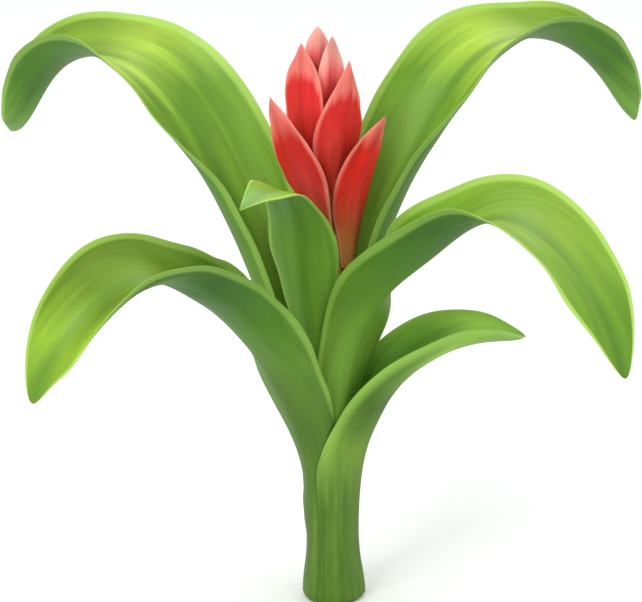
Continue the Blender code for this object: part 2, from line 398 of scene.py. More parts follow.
        bump = add_node(tree, "Bump", {"Height": veins, "Strength": 0.55, "Distance": 0.00010})
        for texture, distance in ((streaks, 0.0005), (fibres, 0.00006), (pores, 0.00004)):
            relief = {"Height": texture, "Strength": 0.6, "Distance": distance, "Normal": bump}
            bump = add_node(tree, "Bump", relief)
        wax = {"Coat Weight": self.coat, "Coat Roughness": 0.22}
        close_tree(tree, {"Base Color": colour, "Roughness": roughness, "Normal": bump, **WAXY_TISSUE, **wax})
        return made

    def blend(
        self, tree: bpy.types.NodeTree, how: str, amount: object, under: object, over: object
    ) -> bpy.types.Node:
        """Lays one colour, "over", on another, "under", by an amount; each is a value, a socket or a node."""
        return add_node(tree, "MixRGB", {"Fac": amount, "Color1": under, "Color2": over}, blend_type=how)


@dataclass(frozen=True)
class StemFinish:
    """Bundled green leaf sheaths: satin, with upright streaks, faint rings where old leaves were, and furrows.

    Attributes:
        name: the material's name.
        stops: colour stops of its streaks.
        streak: across and up one streak.
        ring: from one faint ring to the next.
        roughness: at its glossiest and at its dullest.
    """

    name: str
    stops: tuple
    streak: tuple
    ring: float
    roughness: tuple

    FIBRE = (0.16, 0.7)  # as shares of a streak, across and up

    def streaked(self, tree: bpy.types.NodeTree) -> tuple:
        """Adds the streaks' colour, which lies the same in space on the stem and on the sheaths round it.

        Args:
            tree: the material's node tree.

        Returns:
            The mixing node of the colour, and the sockets of the streaks and of the finer fibres.
        """
        point = add_node(tree, "TexCoord", {}).outputs["Object"]
        wide, tall = self.streak
        thin, short = self.FIBRE
        streaks = pattern(tree, "TexNoise", point, (wide, wide, tall), {"Detail": 3.0})
        fibres = pattern(tree, "TexNoise", point, (wide * thin, wide * thin, tall * short), {"Detail": 2.0})
        colour = add_node(tree, "ValToRGB", {"Fac": streaks}, ramp=self.stops)
        tone = add_node(tree, "MapRange", {0: fibres, 1: 0.2, 2: 0.8, 3: 0.90, 4: 1.10})
        inputs = {"Fac": 1.0, "Color1": colour, "Color2": tone}
        return add_node(tree, "MixRGB", inputs, blend_type="MULTIPLY"), streaks, fibres

    def make(self) -> bpy.types.Material:
        """Builds the material.

        Returns:
            The material, which reads Object coordinates.
        """
        made, tree = blank_material(self.name)
        colour, streaks, fibres = self.streaked(tree)
        point = add_node(tree, "TexCoord", {}).outputs["Object"]
        band = np.pi / 10 / self.ring  # a band texture of scale 1 repeats every pi / 10
        wander = {"Vector": point, "Scale": band, "Distortion": 2.2, "Detail": 2.0, "Detail Scale": 1.5}
        rings = add_node(tree, "TexWave", wander, bands_direction="Z", wave_profile="SAW")
        shiny, dull = self.roughness
        rough = add_node(tree, "MapRange", {0: streaks, 1: 0.3, 2: 0.7, 3: shiny, 4: dull})
        bump = add_node(tree, "Bump", {"Height": rings.outputs["Fac"], "Strength": 0.5, "Distance": 0.0003})
        for texture, distance in ((streaks, 0.0006), (fibres, 0.0002)):
            relief = {"Height": texture, "Strength": 0.6, "Distance": distance, "Normal": bump}
            bump = add_node(tree, "Bump", relief)
        close_tree(tree, {"Base Color": colour, "Roughness": rough, "Normal": bump, **WAXY_TISSUE})
        return made


# leaf ramps: own green with painted light; the light stop near the arch is a painted highlight, the dark middle of
# the lower ramp painted shade under the arch
LEAF_FINISH = StrapFinish(
    name="waxy_strap_leaf",
    upper=stops("0 #5E8A28, 38 #78A535, 50 #6E992B, 60 #A6C545, 69 #82A332, 80 #80A42E, 100 #749A29"),
    lower=stops("0 #5B8027, 20 #557D24, 40 #497519, 60 #406A14, 80 #406E12, 90 #5C8C22, 100 #6B972A"),
    margin="#A8CF5E", margin_from=0.85, margin_full=0.92, margin_strength=(0.35, 0.85), rib_shade="#4E7A28",
    rib_shade_strength=0.45, foot=None, foot_heights=(0.070, 0.135), flame=(0.0, 0.03), bundle=0.0023,
    patch=(0.016, 0.085), roughness=(0.30, 0.44), coat=0.05,
)

# a copy of the leaf's ramps with this leaf's own painted light and shade
RIGHT_OUTER_FINISH = replace(
    LEAF_FINISH, name="waxy_outer_leaf",
    upper=stops("0 #5E8A28, 50 #7AA32A, 70 #83A536, 80 #79A02E, 90 #658F25, 100 #608C20"),
    lower=stops("0 #668E2D, 12 #678D2D, 25 #57801F, 38 #457411, 52 #335F0C, 100 #5A8426"),
)

# a copy of the leaf's ramps with painted shade where this leaf lies under the arch, and a painted highlight near its
# tip
LEFT_OUTER_FINISH = replace(
    LEAF_FINISH, name="waxy_shaded_leaf",
    upper=stops("0 #5E8A28, 50 #769D29, 70 #7A9C33, 80 #6C8B2A, 90 #8FB434, 100 #6F9A28"),
    lower=stops("0 #527325, 12 #587B27, 25 #557E20, 38 #4A7813, 50 #3C6A10, 60 #305C0C, 100 #5A8426"),
)

# a lighter copy of the leaf's ramps: painted light that lifts the shade falling on this leaf among the others
PAINTED_LIGHT_LEAF_FINISH = replace(
    LEAF_FINISH, name="waxy_young_leaf",
    upper=stops("0 #5E8A28, 60 #7CB02E, 100 #80B52C"),
    lower=stops("0 #7EAF3C, 20 #7DAD3A, 40 #69982B, 55 #5C8723, 70 #4E7B1B, 100 #5D842A"),
)

# a copy with a painted light band on the lower face below the rim, and a wider painted rim highlight
SMALL_LEAF_FINISH = replace(
    LEAF_FINISH, name="waxy_folded_leaf",
    upper=stops("0 #73AB30, 50 #6EA331, 62 #7CAC38, 75 #A2D050, 100 #93C44B"),
    lower=stops("0 #80A43C, 11 #759A34, 20 #5C8028, 30 #466A1B, 42 #5D822D, 60 #80A942, 100 #749A35"),
    margin="#92BE50", margin_from=0.72, margin_full=0.985, margin_strength=(0.80, 0.80),
)

# bract ramps: own red with pink tips, plus painted light; the dark base is painted shade where the bracts below
# cover it, and the pink along the tips and margins is partly painted highlight
BRACT_FINISH = StrapFinish(
    name="waxy_red_bract",
    upper=stops("0 #8E231B, 35 #C3241C, 80 #D53330, 100 #E17468"),
    lower=stops("0 #AE2E1F, 25 #BC2E20, 45 #DE3628, 64 #E6261C, 80 #E0251D, 92 #EA6A5C, 100 #EE8476"),
    margin="#EE8C7E", margin_from=0.80, margin_full=0.94, margin_strength=(0.70, 0.70), rib_shade="#A32019",
    rib_shade_strength=0.25, foot="#B47C42", foot_heights=(0.240, 0.302), flame=(0.12, 0.07), bundle=0.0017,
    patch=(0.007, 0.030), roughness=(0.28, 0.40), coat=0.10,
)

# a copy of the bract's ramps with painted light and shade for the middle bracts
MIDDLE_BRACT_FINISH = replace(
    BRACT_FINISH, name="waxy_scarlet_bract",
    lower=stops("0 #C8463A, 22 #BA3226, 45 #D63630, 60 #DA2A28, 72 #D82423, 81 #EE766C, 90 #E6786C, 100 #E8857A"),
)

# a copy of the bract's ramps with painted light and shade for the low bracts
LOW_BRACT_FINISH = replace(
    BRACT_FINISH, name="waxy_crimson_bract",
    lower=stops("0 #AE3A1F, 25 #B43420, 45 #CC3028, 62 #D01E16, 72 #CE1911, 81 #E0594E, 90 #EA7468, 100 #EE8476"),
)

# the top bracts' paler pink is partly their own colour, partly painted highlight
TOP_BRACT_FINISH = replace(
    BRACT_FINISH, name="waxy_pink_bract",
    lower=stops("0 #B62E26, 40 #DD4743, 58 #F3706E, 75 #EE9C91, 100 #EDB2A0"),
    margin="#F2A89C",
)

STALK_FINISH = replace(
    BRACT_FINISH, name="green_stalk_bract",
    upper=stops("0 #6B8B35, 60 #8B8A3A, 100 #B0452F"),
    lower=stops("0 #6B8B35, 45 #8E7A38, 100 #A8432E"),
    margin="#B7A55A", foot="#5E8434", foot_heights=(0.140, 0.200), coat=0.05,
)

STEM_FINISH = StemFinish(
    name="bundled_leaf_sheaths",
    stops=stops("28 #44661D, 45 #4F7222, 60 #577926, 75 #6B8C31"),
    streak=(0.0052, 0.110), ring=0.021, roughness=(0.36, 0.52),
)

AXIS_FINISH = StemFinish(
    name="smooth_flower_stalk",
    stops=stops("25 #96502E, 50 #A05A34, 80 #9C8A40"),
    streak=(0.0018, 0.045), ring=0.014, roughness=(0.34, 0.5),
)


# --- the one stem ---


@dataclass(frozen=True)
class Stem:
    """The plant's short stem, a column of wrapped leaf sheaths from its flat cut at the ground to its crown.

    Attributes:
        height: of its top.
        radii: at even heights from the cut to the top.
        edge: radius of the rounding at the cut's edge.
        edge_depth: how far the rounding draws the foot in.
        lean: how far the axis moves along X for each metre of height.
        rib_depth: how deep the furrows between the old sheaths are.
        ribs: how many furrows go round.
    """

    height: float = 0.150
    radii: tuple = (
        *(0.0208, 0.0202, 0.0190, 0.0175, 0.0168, 0.0166, 0.0169, 0.0174),
        *(0.0180, 0.0183, 0.0179, 0.0167, 0.0146, 0.0118, 0.0090, 0.0065),
    )
    edge: float = 0.0030
    edge_depth: float = 0.0022
    lean: float = -0.022
    rib_depth: float = 0.00022
    ribs: int = 17

    EDGE_ROWS = (0, 0.06, 0.16, 0.3, 0.5, 0.75)
    ROWS = 90
    SIDES = 144
    FURROW_FADE = (0.002, 0.012)

    def centre(self, height: np.ndarray) -> np.ndarray:
        """Points of the axis at some heights: a straight line that leans along X."""
        height = np.asarray(height, float)
        return np.stack([self.lean * height, np.zeros_like(height), height], -1)

    def radius(self, height: np.ndarray) -> np.ndarray:
        """The stem's radius: a smooth curve, drawn in at the foot by a quarter circle.

        Args:
            height: where to measure it.

        Returns:
            The radius at each height.
        """
        height = np.asarray(height, float)
        low = np.clip(1 - height / self.edge, 0, 1)
        return through(self.radii, height / self.height) - self.edge_depth * (1 - np.sqrt(1 - low**2))

    def build(self, finish: bpy.types.Material) -> bpy.types.Object:
        """Makes the stem's skin and stands it for the stem's solid.

        At height z and angle a the radius is the profile's, less furrows of depth d(1 + cos(n a + wander)) that
        fade at the cut, where wander is a slow sum of sines of z and a.

        Args:
            finish: its material.

        Returns:
            The stem.
        """
        foot = self.edge * np.array(self.EDGE_ROWS)
        height = np.concatenate([foot, np.linspace(self.edge, self.height, self.ROWS)])
        z, a = np.meshgrid(height, np.linspace(0, 2 * np.pi, self.SIDES, endpoint=False), indexing="ij")
        wander = 0.9 * np.sin(46 * z + a) + 0.5 * np.sin(23 * z - 2 * a + 1.0)
        furrow = self.rib_depth * (1 + np.cos(self.ribs * a + wander)) * ease(*self.FURROW_FADE, z)
        skin = self.centre(z) + (self.radius(z) - furrow)[..., None] * level(a)
        body = column(skin, *self.centre(height[[0, -1]]))
        return make_piece("stem_skin", ("stem",), body, finish)


STEM = Stem()


# --- blades ---

TIP_SHARE = 0.025
TIP_LAST = 0.07
TIP_ROWS = 11


@dataclass(frozen=True)
class Blade:
    """A strap that bends along its length and is cupped across it: the shape of a leaf or bract.

    Attributes:
        base: where its midline starts.
        azimuth: the way it leaves the stem, from +X towards +Y.
        length: of its midline.
        heading: the midline's turn away from upright, at even steps.
        width: at even steps, with the tip, where it is nothing, left out.
        cup: half the angle that its cross section turns through, at even steps.
        swing: how far the midline swings sideways from the azimuth, at even steps.
        roll: how far it banks about its midline, at even steps.
        tip_round: share of the length over which the tip is rounded off.
    """

    base: tuple
    azimuth: float
    length: float
    heading: tuple
    width: tuple
    cup: tuple
    swing: tuple = (0.0, 0.0)
    roll: tuple = (0.0, 0.0)
    tip_round: float = 0.006

    STEPS = 240
    FLATTEST = 1.0

    def axes(self, share: np.ndarray) -> tuple:
        """Which ways the blade runs, spreads and faces.

        With t its turn from upright, "out" its level compass direction and b its bank, it runs along
        out sin t + up cos t.  Its face is square to that, turned by b about it.

        Args:
            share: places on the midline, 0 to 1.

        Returns:
            Unit vectors along the midline, towards its left side and out of its upper face.
        """
        turn = np.radians(through(self.heading, share))[:, None]
        facing = np.radians(self.azimuth + through(self.swing, share))
        bank = np.radians(through(self.roll, share))[:, None]
        out = level(facing)
        along = np.sin(turn) * out + np.cos(turn) * UPRIGHT
        inward = np.sin(turn) * UPRIGHT - np.cos(turn) * out
        flat = np.cross(UPRIGHT, out)
        side = flat * np.cos(bank) + inward * np.sin(bank)
        return along, side, inward * np.cos(bank) - flat * np.sin(bank)

    def midline(self, share: np.ndarray) -> np.ndarray:
        """Points of the midline: the base plus the sum of small steps along it.

        Args:
            share: places along, 0 to 1.

        Returns:
            A point for each place.
        """
        fine = np.linspace(0, 1, self.STEPS + 1)
        along = self.axes(fine)[0]
        steps = (along[1:] + along[:-1]) * (self.length / self.STEPS / 2)
        path = np.asarray(self.base) + np.concatenate([[[0, 0, 0]], np.cumsum(steps, 0)])
        return np.stack([np.interp(share, fine, path[:, k]) for k in range(3)], -1)

    def half_width(self, share: np.ndarray) -> np.ndarray:
        """Half the width: the named w, times sqrt(1 + 2 (e / r) exp(-r / 4e)) at r from the tip, to round it off.

        Args:
            share: places along, 0 to 1.

        Returns:
            Half the width at each place.
        """
        rest = np.maximum(1 - share, 1e-6)
        blunt = 2 * self.tip_round / rest * np.exp(-rest / (4 * self.tip_round))
        return through((*self.width, 0.0), share) / 2 * np.sqrt(1 + blunt)

    def surface(self, share: np.ndarray, across: np.ndarray) -> np.ndarray:
        """The blade's middle surface.

        Each cross section is an arc of half width w that turns through the angle c either way: at v from
        -1 to 1 it is w sin(c v) / c to the side and w (1 - cos(c v)) / c out of the face.

        Args:
            share: places along, 0 to 1.
            across: places across, -1 to 1.

        Returns:
            Points, one row for each place along.
        """
        _, side, face = self.axes(share)
        half = self.half_width(share)[:, None]
        cup = np.radians(np.maximum(through(self.cup, share), self.FLATTEST))[:, None]
        sideways = half * np.sin(cup * across) / cup
        lift = half * (1 - np.cos(cup * across)) / cup
        middle = self.midline(share)[:, None]
        return middle + side[:, None] * sideways[..., None] + face[:, None] * lift[..., None]


@dataclass(frozen=True)
class Skin:
    """How a blade's middle surface gets its thickness and relief.

    Attributes:
        middle: thickness at the midrib.
        margin: thickness just inside the rounded edge.
        channel: depth of the fold along the upper face.
        channel_width: its half width.
        keel: how far the midrib stands out below.
        pleat: height of the faint lengthwise pleats.
        pleat_width: from one pleat to the next.
        wave: how far the margins wave up and down.
        wave_length: from one wave to the next.
    """

    middle: float = 0.0016
    margin: float = 0.0009
    channel: float = 0.0011
    channel_width: float = 0.0055
    keel: float = 0.0004
    pleat: float = 0.00016
    pleat_width: float = 0.0105
    wave: float = 0.0009
    wave_length: float = 0.074

    ROUND_SHARE = 0.02
    KEEL_WIDTH = 0.0022
    END_FADE = 0.06
    END_THIN = 0.35

    def across(self, count: int) -> np.ndarray:
        """Places across, -1 to 1, that crowd towards both margins as a sine does."""
        return np.sin(np.linspace(-np.pi / 2, np.pi / 2, count))

    def relief(self, across: np.ndarray, sideways: np.ndarray, along: np.ndarray, phase: float) -> np.ndarray:
        """How far the middle surface moves out of its upper face.

        It is a fold, -depth exp(-(x / width)^2), plus pleats, a cosine of x, plus waves at the margins, the
        cube of v times a sine of the way along.

        Args:
            across: v, -1 to 1.
            sideways: x, the distance from the midline.
            along: the distance from the base.
            phase: where the waves start.

        Returns:
            The distance at each point.
        """
        fold = -self.channel * hump(sideways, self.channel_width)
        pleats = self.pleat * np.cos(2 * np.pi * sideways / self.pleat_width) * (1 - across**4)
        turn = 2 * np.pi * along / self.wave_length + phase
        waves = np.abs(across) ** 3 * (np.sin(turn + 1.3 * across) + 0.5 * np.sin(1.7 * turn + 2.1 * across))
        return fold + pleats + self.wave * waves

    def depth(self, across: np.ndarray) -> np.ndarray:
        """Thickness: from margin to middle as 1 - v^2, closing to nothing in a quarter circle at the edge.

        Args:
            across: v, -1 to 1.

        Returns:
            The thickness at each v.
        """
        inside = self.margin + (self.middle - self.margin) * (1 - across**2)
        edge = np.clip((np.abs(across) - 1 + self.ROUND_SHARE) / self.ROUND_SHARE, 0, 1)
        return inside * np.sqrt(1 - edge**2)

    def close(self, grid: np.ndarray, tip: np.ndarray, across: np.ndarray, along: np.ndarray, phase: float) -> tuple:
        """Wraps a closed skin round a middle surface.

        The upper and lower faces stand half the thickness either side of the surface, along its normals, and
        each row of points runs right round both.  A fan closes the tip and a strip closes the base.  Nothing
        goes below the ground.

        Args:
            grid: the middle surface, one row of points for each place along.
            tip: the point the blade ends in.
            across: v of each column.
            along: distance of each row from the base.
            phase: where the margins' waves start.

        Returns:
            The points, the faces, and the rows' sideways distances.
        """
        steps = np.linalg.norm(np.diff(grid, axis=1), axis=2)
        run = np.concatenate([np.zeros((len(grid), 1)), np.cumsum(steps, 1)], 1)
        sideways = run - run[:, [len(across) // 2]]
        normal = normals(grid)
        fade = ease(0, self.END_FADE, (along[-1] - along) / np.ptp(along))[:, None]
        raised = grid + normal * (self.relief(across, sideways, along[:, None], phase) * fade)[..., None]
        half = self.depth(across) / 2 * (self.END_THIN + (1 - self.END_THIN) * fade)
        under = half + self.keel * hump(sideways, self.KEEL_WIDTH) * fade * (np.abs(across) < 1)
        upper = raised + normal * half[..., None]
        lower = raised - normal * under[..., None]
        ring = np.concatenate([upper[:, ::-1], lower[:, 1:-1]], 1)
        points = np.concatenate([ring.reshape(-1, 3), tip[None]])
        points[:, 2] = np.maximum(points[:, 2], 0)
        return points, self.ring_faces(len(grid), len(across)), sideways

    def ring_faces(self, rows: int, columns: int) -> list:
        """Faces of a skin whose rows each run right round, with its tip fan and base strip.

        Args:
            rows: how many rows.
            columns: how many points lie on the upper face in each.

        Returns:
            Lists of point numbers.
        """
        around = 2 * columns - 2
        start = np.arange(columns - 1)
        low = (around - start) % around
        low_next = (around - start - 1) % around
        base = np.stack([start, low, low_next, start + 1], -1).tolist()
        base[0] = [0, low_next[0], 1]
        base[-1] = [columns - 2, low[-1], columns - 1]
        last = (rows - 1) * around
        ring = np.arange(around)
        fan = np.stack([last + ring, last + (ring + 1) % around, np.full(around, rows * around)], -1)
        return grid_faces(rows, around, closed=True).tolist() + base + fan.tolist()

    def layers(
        self, share: np.ndarray, across: np.ndarray, sideways: np.ndarray, along: np.ndarray, number: int
    ) -> dict:
        """The attributes that the finishes read, point by point in the skin's order.

        Args:
            share: each row's place along, 0 at the blade's base and 1 at its tip.
            across: v of each column.
            sideways: distance of each grid point from the midline.
            along: each row's distance from the base.
            number: tells this blade's patterns from the others'.

        Returns:
            For Layer.BLADE the share, v and 1 above or 0 below; for Layer.STRAP the distances and the number.
        """
        rows, columns = sideways.shape
        v = np.broadcast_to(across, (rows, columns))
        x = np.broadcast_to(share[:, None], (rows, columns))
        y = np.broadcast_to(along[:, None], (rows, columns))
        rim = np.abs(v) == 1

        def around(values: np.ndarray, below: np.ndarray) -> np.ndarray:
            """Upper values, then lower ones, in the order of the skin's points."""
            return np.concatenate([values[:, ::-1], below[:, 1:-1]], 1).ravel()

        blade = [around(x, x), around(v, v), around(np.where(rim, 0.5, 1.0), np.zeros_like(x))]
        strap = [around(sideways, sideways), around(y, y), np.full(blade[0].shape, float(number))]
        ends = ([1.0, 0.0, 0.5], [0.0, along[-1], float(number)])
        stacked = [np.stack(values, -1) for values in (blade, strap)]
        return {key: np.concatenate([made, [end]]) for key, made, end in zip(Layer, stacked, ends)}


def normals(grid: np.ndarray) -> np.ndarray:
    """Unit normals of a grid of points: the step along it crossed with the step across it."""
    found = np.cross(np.gradient(grid, axis=0), np.gradient(grid, axis=1))
    return found / np.maximum(np.linalg.norm(found, axis=2, keepdims=True), 1e-12)


def rows_along(start: float, spacing: float) -> np.ndarray:
    """Places along a blade, even and then crowding into the tip's last share t, where they are t q^2 from its end.

    Args:
        start: the first place.
        spacing: the even step.

    Returns:
        The places, the last just short of 1.
    """
    bend = 1 - TIP_SHARE
    even = np.linspace(start, bend, max(2, round((bend - start) / spacing)))
    return np.concatenate([even, 1 - TIP_SHARE * np.linspace(1, TIP_LAST, TIP_ROWS)[1:] ** 2])


@dataclass(frozen=True)
class Sheath:
    """How a leaf's foot clings to the stem and wraps it before the blade leaves.

    Attributes:
        azimuth: the way the middle of the sheath faces.
        foot: the height it starts from.
        height: where its middle leaves the stem.
        rise: how much higher its margins leave than its middle.
        wrap: how far round it reaches either side of its middle.
        lift: how far its middle surface stands out from the stem.
        join: the share of the blade at which sheath turns into blade.
        spread: how much farther its margins stand out by the height where they leave.
    """

    azimuth: float
    foot: float
    height: float
    rise: float
    wrap: float
    lift: float
    join: float
    spread: float = 0.0

    CLING_ROWS = 22
    FREE_ROWS = 30
    SUNK = 0.0013
    BURIED = 0.014
    PULL = 0.9  # how hard the stem's and the blade's directions hold, as a share of the distance between
    STEP_UP = 0.001
    STEP_ALONG = 0.004

    def clinging(self, height: np.ndarray, across: np.ndarray) -> np.ndarray:
        """Points on the stem at some heights, at the azimuth + v wrap and the lift off its surface.

        Where the sheath starts above the ground it comes out from under the stem's surface over a short way.
        Towards the top its margins lift off by the spread times the fourth power of v.

        Args:
            height: of each point.
            across: v of each point.

        Returns:
            The points.
        """
        angle = np.radians(self.azimuth + self.wrap * across)
        out = ease(0, self.BURIED, height - self.foot) if self.foot > 0 else 1.0
        lifted = self.spread * across**4 * ease(self.height / 2, self.height + self.rise, height)
        reach = STEM.radius(height) - self.SUNK + (self.lift + self.SUNK) * out + lifted
        return STEM.centre(height) + reach[..., None] * level(angle)

    def surface(self, blade: Blade, across: np.ndarray) -> np.ndarray:
        """The sheath's middle surface.

        It clings to the stem up to a height that rises as v squared.  From there, for each v, it is the cubic
        (Hermite) curve that leaves in the stem's direction and arrives at the blade's own cross section in the
        blade's own direction.

        Args:
            blade: the blade it turns into.
            across: places across, -1 to 1.

        Returns:
            Points, one row for each place up the sheath, with the blade's first row left out.
        """
        leaving = self.height + self.rise * across**2
        up = np.linspace(0, 1, self.CLING_ROWS, endpoint=False)[:, None]
        low = self.clinging(self.foot + (leaving - self.foot) * up, np.broadcast_to(across, (len(up), len(across))))
        start, above = self.clinging(leaving, across), self.clinging(leaving + self.STEP_UP, across)
        end, beyond = blade.surface(np.array([self.join, self.join + self.STEP_ALONG]), across)
        gap = np.linalg.norm(end - start, axis=1, keepdims=True)
        leave = self.PULL * gap * (above - start) / np.linalg.norm(above - start, axis=1, keepdims=True)
        arrive = self.PULL * gap * (beyond - end) / np.linalg.norm(beyond - end, axis=1, keepdims=True)
        u = np.linspace(0, 1, self.FREE_ROWS, endpoint=False)[:, None, None]
        shape = (2 * u**3 - 3 * u**2 + 1) * start + (u**3 - 2 * u**2 + u) * leave
        return np.concatenate([low, shape + (3 * u**2 - 2 * u**3) * end + (u**3 - u**2) * arrive])


@dataclass(frozen=True)
class Strap:
    """A leaf or a bract: one closed skin round a blade, with the finish and the skin that its own class adds.

    Attributes:
        place: where it grows, which names its piece and its solids.
        blade: its shape.
    """

    place: str
    blade: Blade

    def build(self, number: int, dress: bpy.types.Material) -> bpy.types.Object:
        """Makes the closed skin and stands it for its solids.

        Args:
            number: tells its patterns from the other straps'.
            dress: the material made from its finish.

        Returns:
            The leaf or bract.
        """
        across = self.skin.across(self.COLUMNS)
        grid, share, along = self.rows(across)
        tip = self.blade.midline(np.array([1.0]))[0]
        points, faces, sideways = self.skin.close(grid, tip, across, along, self.PHASE * number)
        layers = self.skin.layers(share, across, sideways, along, number)
        return make_piece(self.name(), self.nodes(), (points, faces), dress, layers)


@dataclass(frozen=True)
class Leaf(Strap):
    """One strap leaf, from its sheath round the stem to its tip.

    Attributes:
        sheath: how its foot wraps the stem.
        finish: what its surface is like.
        skin: its thickness and relief.
        split: whether two solids, its rise and its tip, stand for it.
    """

    sheath: Sheath
    finish: StrapFinish = LEAF_FINISH
    skin: Skin = Skin()
    split: bool = True

    SLOT = "leaf_green"
    COLUMNS = 35
    ROW = 0.0024
    PHASE = 1.9

    def name(self) -> str:
        """The piece's name."""
        return f"{self.place}_leaf"

    def nodes(self) -> tuple:
        """The solids it stands for."""
        return tuple(f"leaf_{self.place}{part}" for part in (("_rise", "_tip") if self.split else ("",)))

    def rows(self, across: np.ndarray) -> tuple:
        """The leaf's middle surface, its sheath and then its blade.

        Args:
            across: v of each column.

        Returns:
            Rows of points, each row's share of the blade, and each row's distance along from the blade's base.
        """
        share = rows_along(self.sheath.join, self.ROW / self.blade.length)
        foot = self.sheath.surface(self.blade, across)
        grid = np.concatenate([foot, self.blade.surface(share, across)])
        steps = np.linalg.norm(np.diff(grid[:, self.COLUMNS // 2], axis=0), axis=1)
        along = np.concatenate([[0], np.cumsum(steps)])
        along += self.sheath.join * self.blade.length - along[len(foot)]
        return grid, np.concatenate([along[: len(foot)] / self.blade.length, share]), along


@dataclass(frozen=True)
class Bract(Strap):
    """One red bract of the flower head, or a green one of its stalk.

    Attributes:
        finish: what its surface is like.
        skin: its thickness and relief.
        on_stalk: whether it is one of the stalk's, which stand for no solid.
    """

    finish: StrapFinish = BRACT_FINISH
    skin: Skin = Skin(
        middle=0.0015,
        margin=0.0008,
        channel=0.0005,
        channel_width=0.003,
        keel=0.0005,
        pleat=0.00008,
        pleat_width=0.006,
        wave=0.00035,
        wave_length=0.031,
    )
    on_stalk: bool = False

    SLOT = "bract_red"
    COLUMNS = 27
    ROW = 0.0014
    PHASE = 2.3

    def name(self) -> str:
        """The piece's name."""
        return f"stalk_bract_{self.place}" if self.on_stalk else f"{self.place}_bract"

    def nodes(self) -> tuple:
        """The solids it stands for."""
        return () if self.on_stalk else (f"bract_{self.place}",)

    def rows(self, across: np.ndarray) -> tuple:
        """The bract's middle surface.

        Args:
            across: v of each column.

        Returns:
            Rows of points, each row's share of the blade, and each row's distance along.
        """
        share = rows_along(0.0, self.ROW / self.blade.length)
        return self.blade.surface(share, across), share, share * self.blade.length


# --- the flower's axis ---


@dataclass(frozen=True)
class Axis:
    """A tapering round piece of the flower's middle, carried up a straight line between two points.

    Attributes:
        node: the solid it stands for.
        foot: where it starts.
        tip: where it ends.
        radii: at even steps from foot to tip.
    """

    node: str
    foot: tuple
    tip: tuple
    radii: tuple

    ROWS = 60
    SIDES = 40
    FURROW = 0.02

    def build(self, finish: bpy.types.Material) -> bpy.types.Object:
        """Makes the piece's closed skin and stands it for its solid.

        At share s and angle a the radius is that of the named ones, less small furrows, of cos(7a + 5s).

        Args:
            finish: its material.

        Returns:
            The piece.
        """
        share = np.linspace(0, 1, self.ROWS)
        s, a = np.meshgrid(share, np.linspace(0, 2 * np.pi, self.SIDES, endpoint=False), indexing="ij")
        radius = through(self.radii, s) * (1 - self.FURROW * (1 + np.cos(7 * a + 5 * s)))
        foot, tip = np.asarray(self.foot), np.asarray(self.tip)
        skin = foot + (tip - foot) * s[..., None] + radius[..., None] * level(a)
        return make_piece(f"{self.node}_skin", (self.node,), column(skin, foot, tip), finish)


# --- the plant's pieces ---


